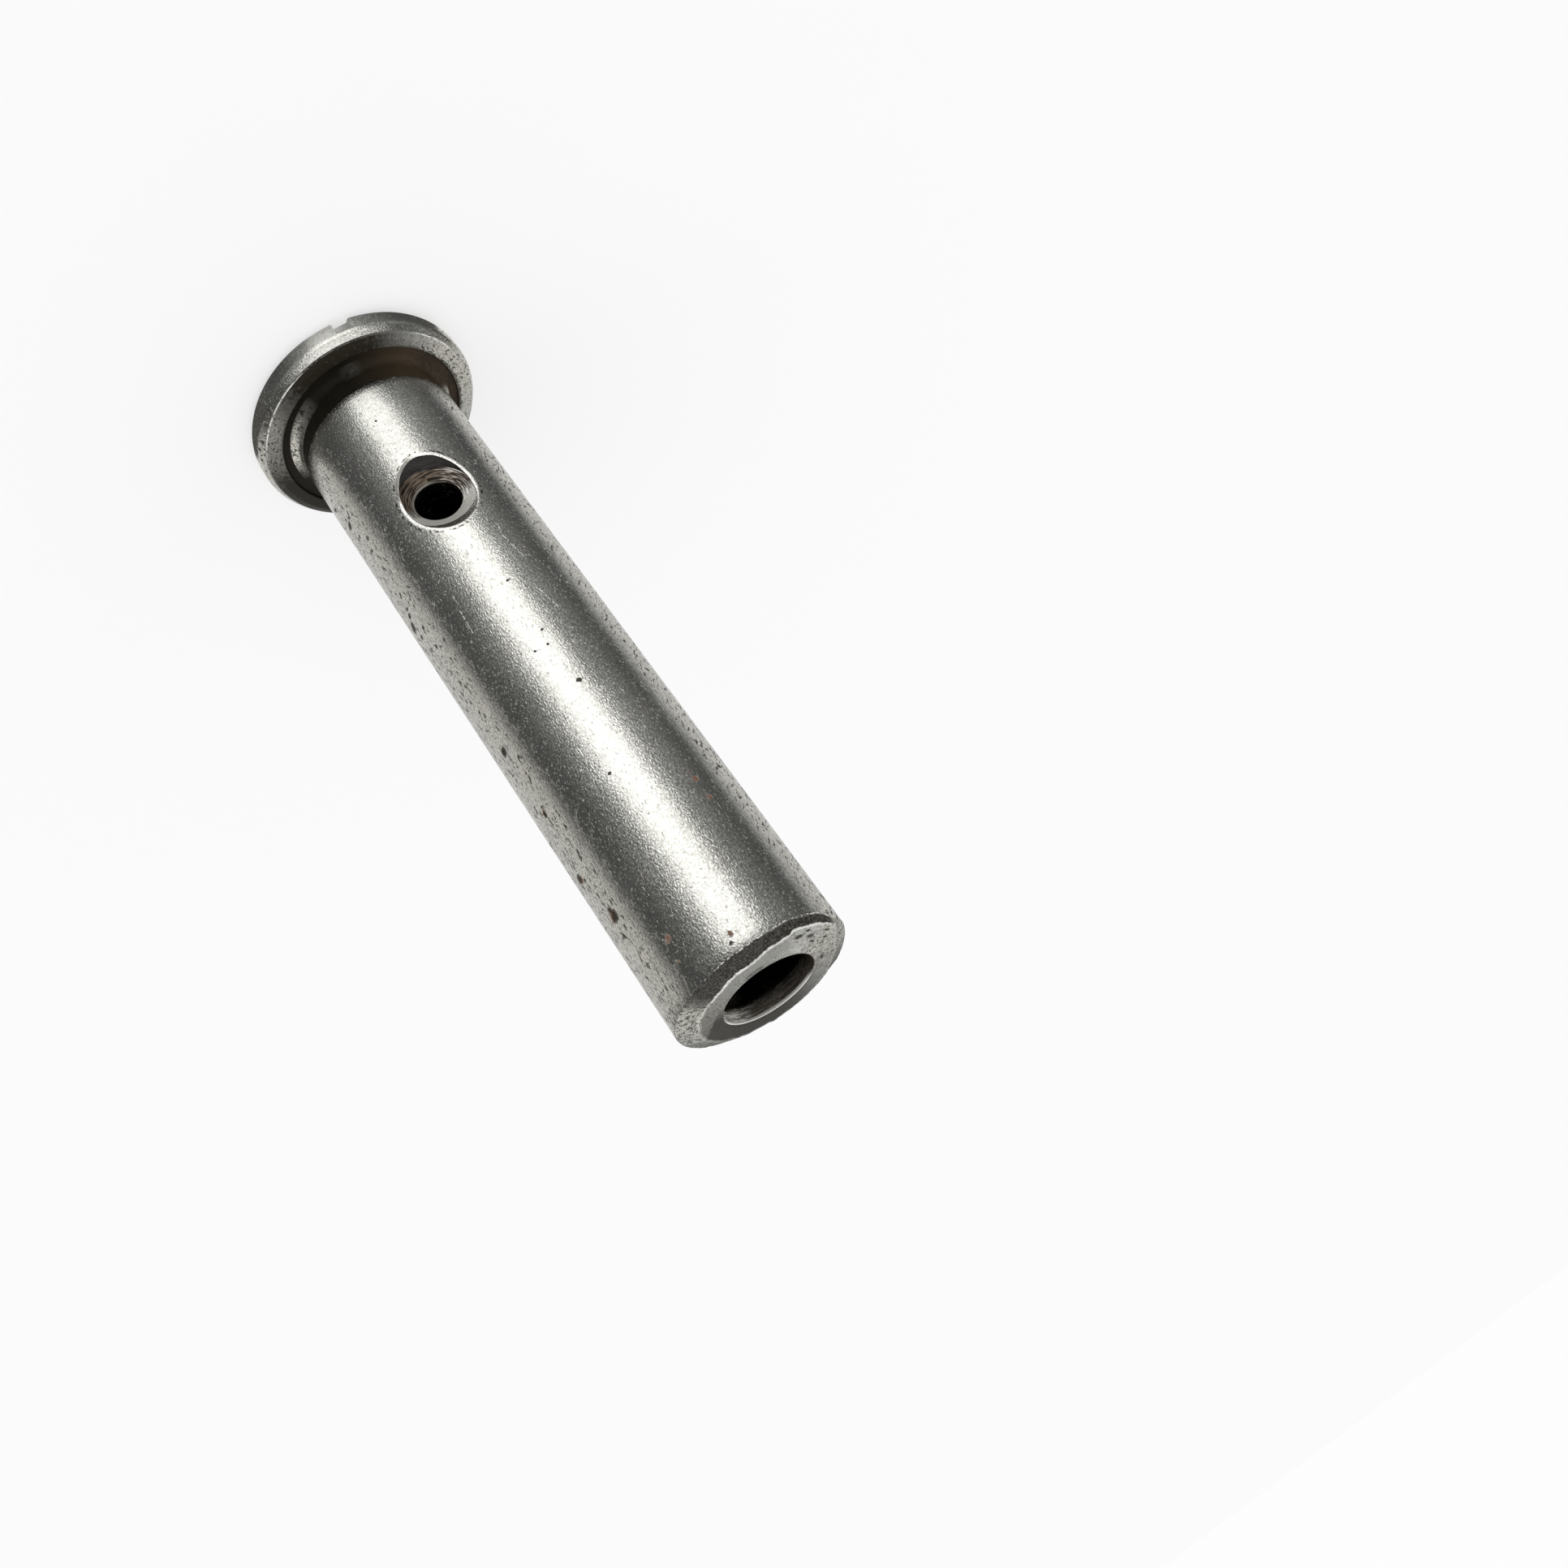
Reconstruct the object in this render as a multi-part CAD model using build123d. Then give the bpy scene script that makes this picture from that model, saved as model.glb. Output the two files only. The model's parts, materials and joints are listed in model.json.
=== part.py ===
# A lubricated clevis pin: a turned steel pin with a round head, a relief groove under the head,
# a bore in its free end, and a countersunk cross hole through which the grease leaves the bore.
# It stands on the top of its head. The origin is the centre of that face, +Z runs up the pin to
# its free end, and the cross hole opens towards -Y. All sizes are in millimetres.

import os
from math import cos, radians, sin, tan

from build123d import *

# Shank
shank_diameter = 20.0
grip_length = 91.3              # from the bearing face under the head to the free end
end_chamfer_height = 1.1        # along the axis
end_chamfer_width = 2.0         # across the radius
end_corner_round = 0.6          # softens the chamfer's two edges

# Head
head_diameter = 29.0
head_thickness = 4.7            # from the top of the head to the bearing face
head_top_round = 1.8            # rounding between the top face and the side
bearing_ring_outer = 26.3       # diameters of the flat ring that bears on the clevis
bearing_ring_inner = 23.7
bevel_width = 0.7               # the narrow bevel just outside the bearing ring
bevel_drop = 0.35
shoulder_drop = 1.05            # the steep rounded shoulder from that bevel to the side
shoulder_round = 1.2

# Recess and relief groove between the head and the shank
recess_depth = 0.45             # below the bearing ring
groove_diameter = 19.3
groove_root_round = 1.1         # hollow rounding where the groove meets the recess
groove_length = 3.2             # from the bearing face to the start of the shank
groove_lip = 0.15               # height of the small slope up to the shank

# End bore, which carries the grease to the cross hole
bore_diameter = 10.0
bore_mouth_break = 0.3
drill_point_angle = 118.0
bore_overrun = 1.0              # full bore continues this far past the edge of the cross hole

# Cross hole
cross_hole_diameter = 5.6
cross_hole_from_end = 68.4      # from the free end to the hole's axis
countersink_angle = 120.0
countersink_depth = 1.85        # from the crest of the shank to the small end of the cone
countersink_lip_round = 0.4

# The nick in the rim of the head, beside the cross hole
nick_radius = 1.7
nick_depth = 0.85
nick_turn = -4.5                # degrees about +Z from the cross hole's direction
nick_tilt = 40.0                # degrees below the horizontal, towards the top face

# Worked out from the sizes above
shank_radius = shank_diameter / 2
head_radius = head_diameter / 2
groove_radius = groove_diameter / 2
bore_radius = bore_diameter / 2
cross_hole_radius = cross_hole_diameter / 2
full_length = head_thickness + grip_length
recess_floor = head_thickness - recess_depth
shank_start = head_thickness + groove_length
cross_hole_height = full_length - cross_hole_from_end


def revolved(corners):
    """Turn a closed half section about Z. Each corner is (radius, height, rounding)."""
    points = [(radius, height) for radius, height, rounding in corners]
    roundings = [rounding for radius, height, rounding in corners]
    section = make_face(FilletPolyline(points, radius=roundings, close=True))
    return revolve(Plane.XZ * section, Axis.Z)


def pin_body():
    """The whole outside of the pin, from the top of the head to the free end."""
    bevel_radius = bearing_ring_outer / 2 + bevel_width
    bevel_height = head_thickness - bevel_drop
    return revolved([
        (0, 0, 0),
        (head_radius, 0, head_top_round),
        (head_radius, bevel_height - shoulder_drop, shoulder_round),
        (bevel_radius, bevel_height, 0),
        (bearing_ring_outer / 2, head_thickness, 0),
        (bearing_ring_inner / 2, head_thickness, 0),
        (bearing_ring_inner / 2, recess_floor, 0),
        (groove_radius, recess_floor, groove_root_round),
        (groove_radius, shank_start - groove_lip, 0),
        (shank_radius, shank_start, 0),
        (shank_radius, full_length - end_chamfer_height, end_corner_round),
        (shank_radius - end_chamfer_width, full_length, end_corner_round),
        (0, full_length, 0),
    ])


def end_bore():
    """The blind bore with its drill point, and the small chamfer at its mouth."""
    bore_floor = cross_hole_height - cross_hole_radius - bore_overrun
    point_height = bore_radius / tan(radians(drill_point_angle / 2))
    mouth_radius = bore_radius + bore_mouth_break
    return revolved([
        (0, bore_floor - point_height, 0),
        (bore_radius, bore_floor, 0),
        (bore_radius, full_length - bore_mouth_break, 0),
        (mouth_radius, full_length, 0),
        (mouth_radius, full_length + bore_mouth_break, 0),
        (0, full_length + bore_mouth_break, 0),
    ])


def cross_hole():
    """The drilled hole from the shank's side into the bore, with its wide countersink."""
    cone_tip_height = cross_hole_radius / tan(radians(countersink_angle / 2))
    cone_start = shank_radius - countersink_depth
    cone_end = shank_radius + countersink_lip_round
    cone_end_radius = (cone_end - cone_start + cone_tip_height) * tan(radians(countersink_angle / 2))
    tool = revolved([
        (0, 0, 0),
        (cross_hole_radius, 0, 0),
        (cross_hole_radius, cone_start, 0),
        (cone_end_radius, cone_end, 0),
        (0, cone_end, 0),
    ])
    return Pos(0, 0, cross_hole_height) * Rot(90, 0, 0) * tool


def rim_nick():
    """A scooped dent in the edge of the head's top face."""
    round_centre_radius = head_radius - head_top_round
    turn = radians(-90 + nick_turn)
    tilt = radians(nick_tilt)
    reach = head_top_round + nick_radius - nick_depth
    out = round_centre_radius + reach * cos(tilt)
    height = head_top_round - reach * sin(tilt)
    return Pos(out * cos(turn), out * sin(turn), height) * Sphere(nick_radius)


def clevis_pin():
    pin = pin_body() - end_bore() - cross_hole()
    crest_edges = pin.edges().filter_by(
        lambda edge: abs(edge.center().Z - cross_hole_height) < cross_hole_radius
        and abs((edge @ 0).X ** 2 + (edge @ 0).Y ** 2 - shank_radius ** 2) < 0.01
    )
    pin = fillet(crest_edges, countersink_lip_round)
    return pin - rim_nick()


os.makedirs("parts", exist_ok=True)
pin = clevis_pin()
export_step(pin, "parts/clevis_pin.step")
print(f"clevis pin: {pin.volume:.0f} mm3, {full_length:.1f} mm long, {len(pin.faces())} faces")
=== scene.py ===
# %% [markdown]
# # A turned clevis pin
# A clevis pin is turned from one steel bar. It has a head that stops it, a relief groove under
# the head, a bore in its free end and a countersunk cross hole where grease leaves the bore.
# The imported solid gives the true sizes. This file makes a finer skin of the same pin around
# those sizes, gives it a worn steel finish, and puts it under a plain studio light.

# %% Load the solid
import json
from math import atan2, ceil, cos, degrees, hypot, pi, radians, sin, sqrt, tan, tau

import bmesh
import bpy
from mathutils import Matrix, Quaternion, Vector, noise


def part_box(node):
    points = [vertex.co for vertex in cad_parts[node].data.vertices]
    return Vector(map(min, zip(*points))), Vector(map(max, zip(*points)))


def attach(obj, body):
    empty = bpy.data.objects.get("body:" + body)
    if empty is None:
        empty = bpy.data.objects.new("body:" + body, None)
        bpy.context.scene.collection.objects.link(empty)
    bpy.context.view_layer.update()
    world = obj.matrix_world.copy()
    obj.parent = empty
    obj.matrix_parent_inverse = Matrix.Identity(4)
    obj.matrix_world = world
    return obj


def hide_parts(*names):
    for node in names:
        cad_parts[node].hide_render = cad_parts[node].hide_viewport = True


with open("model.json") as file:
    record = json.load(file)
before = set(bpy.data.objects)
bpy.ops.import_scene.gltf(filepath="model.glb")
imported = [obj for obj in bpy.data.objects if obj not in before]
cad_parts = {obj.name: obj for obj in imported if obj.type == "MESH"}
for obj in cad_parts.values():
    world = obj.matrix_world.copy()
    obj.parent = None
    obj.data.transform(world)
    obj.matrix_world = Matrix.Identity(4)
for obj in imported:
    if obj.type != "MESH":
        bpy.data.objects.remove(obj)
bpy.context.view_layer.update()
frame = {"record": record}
MM = 0.001

# %% [markdown]
# ## The camera
# The picture is taken from beside the free end, looking down the pin towards its head, and
# turned until the pin lies across the frame. So the camera is aimed first, as a level one
# would be, and then rolled about its own line of sight.

# %% Aim and roll the camera
camera_place = Vector((28.62, -151.62, 156.06)) * MM
camera_target = Vector((-9.15, -2.32, 69.23)) * MM
camera_roll = radians(143.35)


def studio_camera():
    """A camera beside the free end of the pin."""
    data = bpy.data.cameras.new("camera")
    data.lens = 38.319
    data.sensor_width = 36.0
    data.shift_x, data.shift_y = 0.0518, -0.0259
    data.clip_start = 0.005
    camera = bpy.data.objects.new("camera", data)
    bpy.context.scene.collection.objects.link(camera)
    level = (camera_target - camera_place).to_track_quat("-Z", "Y")
    camera.rotation_mode = "QUATERNION"
    camera.rotation_quaternion = level @ Quaternion((0, 0, 1), camera_roll)
    camera.location = camera_place
    bpy.context.scene.camera = camera
    return camera


camera = studio_camera()
print("camera", round((camera_target - camera_place).length / MM), "mm from the middle of the pin")

# %% [markdown]
# ## Sizes
# The driving sizes come from the solid's box and from the mounts in its record. The rest are
# the turner's own sizes, in millimetres, which the box can't tell.

# %% Read the driving sizes
mounts = {mount["name"]: mount for mount in frame["record"]["mounts"]}
pin_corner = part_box("clevis_pin")[1]
full_length = pin_corner.z / MM
head_radius = pin_corner.x / MM
shank_radius = mounts["shank"]["dims"]["r_mm"]
bore_radius = mounts["end_bore"]["dims"]["r_mm"]
hole_radius = mounts["cross_hole"]["dims"]["r_mm"]
hole_height = mounts["cross_hole"]["pos_m"][2] / MM
bearing_height = mounts["under_head"]["pos_m"][2] / MM

head_top_round = 1.8
shoulder_drop = 1.05
bevel_width = 0.7
bevel_height = bearing_height - 0.35
bearing_outer = 13.15
bearing_inner = 11.85
recess_floor = bearing_height - 0.45
groove_radius = 9.65
groove_top = bearing_height + 3.05
shank_start = bearing_height + 3.2
chamfer_width = 2.0
chamfer_height = 1.1
mouth_break = 0.06
drill_point = radians(118)
bore_floor = hole_height - hole_radius - 1.0
bore_tip = bore_floor - bore_radius / tan(drill_point / 2)
print(f"length {full_length:.1f}, head {2 * head_radius:.1f}, shank {2 * shank_radius:.1f} mm")

# %% [markdown]
# ## Half of the pin's section
# Everything a lathe cuts is one half section turned about the axis. The section is drawn with
# a few corners, and each corner is rounded by a vertex bevel: with a profile of 0.5 that gives
# a true arc. The bevel's offset is how far back from the corner the arc starts. Nearly every
# corner gets at least a tiny arc, because worn steel shows it as a line of light.

# %% List the corners of the section
window_half_height = 8.0
bore_window_half_height = 3.3
window_rows = 24
window_low = hole_height - window_half_height
window_high = hole_height + window_half_height
bore_window_low = hole_height - bore_window_half_height
bore_window_high = hole_height + bore_window_half_height
worn_from = full_length - 3.5

# Each corner is its radius, its height, its rounding and the steps of that rounding.
section_corners = [
    (0, 0, 0, 0),
    (head_radius, 0, head_top_round, 14),
    (head_radius, bevel_height - shoulder_drop, 1.2, 8),
    (bearing_outer + bevel_width, bevel_height, 0.16, 3),
    (bearing_outer, bearing_height, 0.3, 3),
    (bearing_inner, bearing_height, 0.14, 4),
    (bearing_inner, recess_floor, 0.2, 4),
    (groove_radius, recess_floor, 1.1, 10),
    (groove_radius, groove_top, 0.05, 2),
    (shank_radius, shank_start, 0.12, 3),
    (shank_radius, window_low, 0, 0),
    (shank_radius, window_high, 0, 0),
    (shank_radius, worn_from, 0, 0),
    (shank_radius, full_length - chamfer_height, 0.2, 3),
    (shank_radius - chamfer_width, full_length, 0.25, 3),
    (bore_radius + mouth_break, full_length, 0, 0),
    (bore_radius, full_length - mouth_break, 0, 0),
    (bore_radius, bore_window_high, 0, 0),
    (bore_radius, bore_window_low, 0, 0),
    (bore_radius, bore_floor, 0.1, 2),
    (0, bore_tip, 0, 0),
]
print(len(section_corners), "corners")

# %% Draw the half section


def rounded_section(corners):
    """A wire of the half section in the XZ plane, with its corners rounded."""
    section = bmesh.new()
    places = [Vector((radius, 0, height)) for radius, height, rounding, steps in corners]
    points = [section.verts.new(place) for place in places]
    for start, end in zip(points, points[1:]):
        section.edges.new((start, end))
    for index, (radius, height, rounding, steps) in enumerate(corners):
        if rounding:
            incoming = places[index] - places[index - 1]
            outgoing = places[index + 1] - places[index]
            offset = rounding * tan(incoming.angle(outgoing) / 2)
            bmesh.ops.bevel(section, geom=[points[index]], offset=offset, offset_type="OFFSET",
                            segments=steps, profile=0.5, affect="VERTICES", material=-1)
    return section


section = rounded_section(section_corners)
print(len(section.verts), "points once the corners are round")

# %% [markdown]
# ## Points along the section
# Straight runs need points too: an exact number where the windows for the cross hole will be,
# close ones where wear will be modelled, and only a few where nothing happens.

# %% Divide the straight runs


def split_run(section, radius, low, high, parts):
    """Divide the straight run between two heights into equal parts."""
    run = [edge for edge in section.edges
           if {round(v.co.z, 3) for v in edge.verts} == {round(low, 3), round(high, 3)}
           and all(abs(v.co.x - radius) < 0.01 for v in edge.verts)]
    bmesh.ops.subdivide_edges(section, edges=run, cuts=parts - 1)


def split_long(section, longest, inside, low, high):
    """Divide long edges that lie outside this radius and between these heights."""
    for edge in [edge for edge in section.edges if edge.calc_length() > longest]:
        if all(v.co.x >= inside and low <= v.co.z <= high for v in edge.verts):
            cuts = ceil(edge.calc_length() / longest) - 1
            bmesh.ops.subdivide_edges(section, edges=[edge], cuts=cuts)


split_run(section, shank_radius, window_low, window_high, window_rows)
split_run(section, bore_radius, bore_window_low, bore_window_high, window_rows)
# The longest edge that may stay comes first, then the radius and heights where that holds.
split_long(section, 0.12, 7.5, full_length - 1.5, full_length)
split_long(section, 0.25, bore_radius, worn_from, full_length)
split_long(section, 0.28, groove_radius, 0.1, shank_start)
split_long(section, 1.2, shank_radius, 0, full_length)
split_long(section, 3.0, 0, 0, full_length)
print(len(section.verts), "points on the half section")

# %% [markdown]
# ## Turn it
# Spinning the section a full turn is the same as turning the bar. The first and last rows are
# merged, and so are the copies of the two points that lie on the axis. Three layers of numbers
# are added to the points, so that later steps can note where the worn edges run.

# %% Spin the section
around = 320


def turned(section):
    """The whole pin, as turned, before the cross hole is drilled."""
    bmesh.ops.spin(section, geom=section.verts[:] + section.edges[:], cent=(0, 0, 0), axis=(0, 0, 1),
                   angle=tau, steps=around, use_merge=True)
    bmesh.ops.remove_doubles(section, verts=section.verts[:], dist=0.002)
    return section


pin = turned(section)
past_outer = pin.verts.layers.float.new("past_outer")
past_inner = pin.verts.layers.float.new("past_inner")
into_hole = pin.verts.layers.float.new("into_hole")
print(len(pin.faces), "faces after turning")

# %% [markdown]
# ## The worn end
# The chamfer round the free end is far from even. Blows have pushed its inner edge about, and
# on one side they closed it up until only a narrow steep band is left. The list below gives,
# round the pin, how far the band reaches down the side and in across the face. Two of the new
# layers get each point's distance past the band's outer and inner edge, for the finish. The
# bore's mouth has worn a little wider, more on one side than on the other.

# %% Wear the end
# Degrees round from the cross hole, drop of the outer edge, width in from the shank's radius.
chamfer_by_angle = [
    (-180, 1.0, 1.9), (-140, 1.0, 1.8), (-110, 1.1, 2.0), (-85, 1.25, 1.8), (-70, 1.05, 0.95),
    (-62, 0.75, 0.45), (-56, 0.75, 0.35), (-48, 1.25, 0.32), (-38, 1.38, 0.3), (-30, 1.26, 0.3),
    (-24, 1.4, 0.45), (-20, 1.34, 1.1), (-11, 1.1, 1.36), (-3, 0.97, 1.8), (6, 0.94, 2.3),
    (16, 0.95, 2.42), (22, 0.95, 2.15), (32, 0.9, 2.36), (46, 0.85, 2.5), (60, 0.9, 2.3),
    (90, 1.0, 2.15), (130, 1.1, 2.1), (180, 1.1, 2.1)]
crown_middle = Vector((0.8, 1.0))
crown_rate = 0.003
mouth_flare = 0.27
mouth_shift = Vector((-0.25, -0.25))
flare_depth = 1.4
flare_width = 1.6
flare_radius = 7.0              # the flare has faded out here
mouth_radius = bore_radius + 0.5
untouched = -9.0                # what a layer holds far from the marks that it measures
inside_mouth = 3.0


def azimuth(place):
    """Degrees round the axis from the cross hole's side, towards +X."""
    return degrees(atan2(place.x, -place.y))


def chamfer_at(angle):
    """Drop and width of the chamfer at an angle, between the listed ones."""
    for (a, drop_a, width_a), (b, drop_b, width_b) in zip(chamfer_by_angle, chamfer_by_angle[1:]):
        if angle <= b:
            share = (angle - a) / (b - a)
            return drop_a + (drop_b - drop_a) * share, width_a + (width_b - width_a) * share


def jitter(place, size, seed):
    """Smooth noise from -1 to 1 with bumps of this size in mm."""
    return noise.noise(Vector((place.x / size, place.y / size, place.z / size + seed)))


def clamped(value):
    return min(1.0, max(0.0, value))


def widen_mouth(vert):
    """Move a point near the bore's mouth outwards, and a little to the side that wore more."""
    outward = vert.co.to_2d()
    flare = clamped((flare_radius - outward.length) / flare_width)
    flare *= clamped((vert.co.z - full_length + flare_depth) / flare_depth)
    vert.co.xy += (outward.normalized() * mouth_flare + mouth_shift) * flare


def worn_chamfer(place):
    """Drop and width of the chamfer here, with small uneven steps that follow its rim."""
    drop, width = chamfer_at(azimuth(place))
    rim = place.to_2d().normalized().to_3d() * 9
    drop += 0.06 * jitter(rim, 0.45, 3) + 0.06 * jitter(rim, 1.6, 5)
    width += 0.1 * jitter(rim, 0.4, 11) + 0.15 * jitter(rim, 1.3, 13)
    return drop, width


def wear_end(mesh):
    """Move the chamfer's two edges to where wear has left them, and crown the end face."""
    for vert in mesh.verts:
        vert[past_outer] = vert[past_inner] = untouched
        if vert.co.z < worn_from:
            continue
        in_mouth = vert.co.to_2d().length < mouth_radius
        widen_mouth(vert)
        if in_mouth:
            vert[past_inner] = inside_mouth
            continue
        radius = vert.co.to_2d().length
        drop, width = worn_chamfer(vert.co)
        across = clamped((shank_radius - radius) / chamfer_width)
        along = clamped((vert.co.z - worn_from) / (full_length - chamfer_height - worn_from))
        inward = clamped((radius - mouth_radius) / (shank_radius - chamfer_width - mouth_radius))
        height = vert.co.z + (chamfer_height - drop) * (1 - across) * along
        reach = radius + (chamfer_width - width) * across * inward
        outer_gap = hypot(shank_radius - reach, height - full_length + drop)
        inner_gap = hypot(shank_radius - width - reach, full_length - height)
        vert[past_outer] = -outer_gap if across == 0 and height < full_length - drop else outer_gap
        vert[past_inner] = inner_gap if reach < shank_radius - width else -inner_gap
        flat = vert.co.to_2d() * (reach / radius)
        height -= crown_rate * across * (flat - crown_middle).length_squared
        vert.co = Vector((flat.x, flat.y, height))


wear_end(pin)
print(sum(1 for v in pin.verts if v[past_inner] > untouched), "points in the worn end")

# %% [markdown]
# ## The cross hole
# A hole through a round shank has a saddle-shaped rim, so a plain bevel can't follow it. A
# window is opened in the shank and another in the bore. The window's rim is then drawn in,
# ring by ring: over the shank, across the rubbed lip, down the countersink with its tool ridges
# and along the drilled wall, until it can be bridged to the window in the bore. Cutting the
# hole with a Boolean would be shorter, but it leaves slivers that shade badly on bright steel.

# %% Open the two windows
window_half_width = 40.0


def open_window(mesh, radius, low, high):
    """Delete a patch of wall at one radius, and give back the edges round it."""
    faces = []
    for face in mesh.faces:
        middle = face.calc_center_median()
        if (abs(azimuth(middle)) < window_half_width and low < middle.z < high
                and abs(hypot(middle.x, middle.y) - radius) < 0.05):
            faces.append(face)
    bmesh.ops.delete(mesh, geom=faces, context="FACES")
    return [edge for edge in mesh.edges
            if edge.is_boundary and abs(edge.verts[0].co.to_2d().length - radius) < 0.05]


for vert in pin.verts:
    vert[into_hole] = untouched
shank_rim = open_window(pin, shank_radius, window_low, window_high)
bore_rim = open_window(pin, bore_radius, bore_window_low, bore_window_high)
print(len(shank_rim), "edges round the window in the shank,", len(bore_rim), "in the bore")

# %% [markdown]
# ## Where the countersink lies
# The cone is cut to a known depth, so at each angle round the hole there is one place where it
# meets the shank. Stepping towards it forty times finds that place closely enough. The drill
# wandered a little, so the small end of the cone is off centre, and it left uneven ridges.

# %% Countersink surfaces
countersink_slope = tan(radians(120 / 2))
countersink_start = shank_radius - 1.85
lip_outside = 0.26
lip_inside = 0.13
throat_step = 0.05              # the small step from the cone to the drilled wall
drill_wander = Vector((0.22, 0, 0))


def ring_place(reach, angle, depth):
    """A point at this reach and angle from the hole's axis, this far out from the pin's axis."""
    return Vector((reach * sin(angle), -depth, hole_height + reach * cos(angle)))


def on_shank(reach, angle):
    return ring_place(reach, angle, sqrt(shank_radius ** 2 - (reach * sin(angle)) ** 2))


def cone_depth(reach):
    """How far out from the pin's axis the countersink lies at this reach from the hole's axis."""
    return countersink_start + (reach - hole_radius) / countersink_slope


def crest_reach(angle):
    """Where the countersink meets the shank. Each step comes closer to the answer."""
    reach = hole_radius
    for attempt in range(40):
        surface = sqrt(shank_radius ** 2 - (reach * sin(angle)) ** 2)
        reach += 0.6 * (hole_radius + (surface - countersink_start) * countersink_slope - reach)
    around_rim = Vector((3 * sin(angle), 0, 3 * cos(angle)))
    less_worn = 0.15 * clamped((cos(angle) - sin(angle)) * 0.7)
    return reach + 0.06 * jitter(around_rim, 0.7, 21) - less_worn


def ridge(reach, angle):
    """Height of the uneven turning ridges near the small end of the countersink."""
    around_rim = Vector((2 * sin(angle), 0, 2 * cos(angle)))
    wobble = 0.12 * jitter(around_rim, 1.5, 31)
    first = max(0, 1 - abs(reach + wobble - 4.15) / 0.2)
    second = max(0, 1 - abs(reach - wobble - 3.55) / 0.16)
    strength = clamped(0.75 - 1.1 * cos(angle)) + 0.25 * jitter(around_rim, 0.9, 35)
    return -strength * (0.1 * first + 0.08 * second)


print(f"countersink {2 * crest_reach(0):.1f} mm long and {2 * crest_reach(pi / 2):.1f} mm across")

# %% Draw the rim in to the hole


def draw_in(mesh, rim, place, mark):
    """Extrude a rim once. place moves each new point, from its angle round the hole.

    mark is noted in the points: below 0 on the shank, then rising from the lip to the wall.
    """
    made = bmesh.ops.extrude_edge_only(mesh, edges=rim)["geom"]
    points = [item for item in made if isinstance(item, bmesh.types.BMVert)]
    for point in points:
        angle = atan2(point.co.x, point.co.z - hole_height)
        point.co = place(point.co.copy(), angle)
        point[into_hole] = mark
    return [item for item in made if isinstance(item, bmesh.types.BMEdge) and item.is_boundary]


def over_shank(share, short_of=0.0):
    """Move part of the way from the present ring towards the lip, staying on the shank."""
    def place(now, angle):
        reach = hypot(now.x, now.z - hole_height)
        goal = crest_reach(angle) + lip_outside + short_of
        return on_shank(reach + (goal - reach) * share, angle)
    return place


def across_lip(share):
    """The rubbed lip: nearly flat, with a slight bulge towards the crest it has lost."""
    def place(now, angle):
        crest = crest_reach(angle)
        outside = on_shank(crest + lip_outside, angle)
        inside = ring_place(crest - lip_inside, angle, cone_depth(crest - lip_inside))
        bulge = on_shank(crest, angle) - outside.lerp(inside, 0.5)
        return outside.lerp(inside, share) + bulge * 1.2 * share * (1 - share)
    return place


def down_cone(share):
    def place(now, angle):
        reach = crest_reach(angle) - lip_inside
        reach += (hole_radius + throat_step - reach) * share
        spot = ring_place(reach, angle, cone_depth(reach) + ridge(reach, angle))
        return spot + drill_wander * share
    return place


def down_wall(share):
    def place(now, angle):
        start = cone_depth(hole_radius) - throat_step
        end = sqrt(bore_radius ** 2 - (hole_radius * sin(angle)) ** 2)
        return ring_place(hole_radius, angle, start + (end - start) * share) + drill_wander
    return place


rim = shank_rim
for share in (0.16, 0.2, 0.25, 0.35, 0.5):
    rim = draw_in(pin, rim, over_shank(share, 0.5), -2.0)
rim = draw_in(pin, rim, over_shank(1, 0.4), -0.6)
rim = draw_in(pin, rim, over_shank(1), -0.2)
for step in range(1, 5):
    rim = draw_in(pin, rim, across_lip(step / 4), -0.2 + step * 0.1)
for step in range(1, 29):
    rim = draw_in(pin, rim, down_cone(step / 28), 0.2 + step * 0.1)
for step in range(5):
    rim = draw_in(pin, rim, down_wall(step / 4), 3.5 + step * 0.5)
bmesh.ops.bridge_loops(pin, edges=rim + bore_rim)
print(len([edge for edge in pin.edges if edge.is_boundary]), "open edges left, which should be none")

# %% [markdown]
# ## The nick in the head's rim
# A sharp edge struck the rim beside the cross hole. The dent has steep ends and a sloping floor,
# and the metal pushed aside stands up as a small burr at its deeper end. The faces there are
# divided more finely first, and then each point moves square to the rounded rim.

# %% Press in the nick
nick_turn = -5.2
nick_half_width = 1.2
nick_depth = 0.62
nick_tilt = radians(40)
rim_height = 3.2                # only the head's rim below this height is looked at
rim_inside = head_radius - 3
degrees_to_mm = radians(1) * head_radius


def nick_profile(across):
    """Depth of the dent at this distance in mm from its middle, along the rim."""
    floor = nick_depth * (0.85 + 0.13 * across)
    walls = clamped((nick_half_width - across) / 0.12) * clamped((nick_half_width + across) / 0.3)
    burr = 0.06 * clamped(1 - abs(across - nick_half_width - 0.12) / 0.15)
    return floor * walls - burr


def on_rim(vert, half_width):
    """Whether a point is on the head's rim and this near the middle of the nick, in mm."""
    return (vert.co.z < rim_height and vert.co.to_2d().length > rim_inside
            and abs(azimuth(vert.co) - nick_turn) * degrees_to_mm < half_width)


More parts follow.
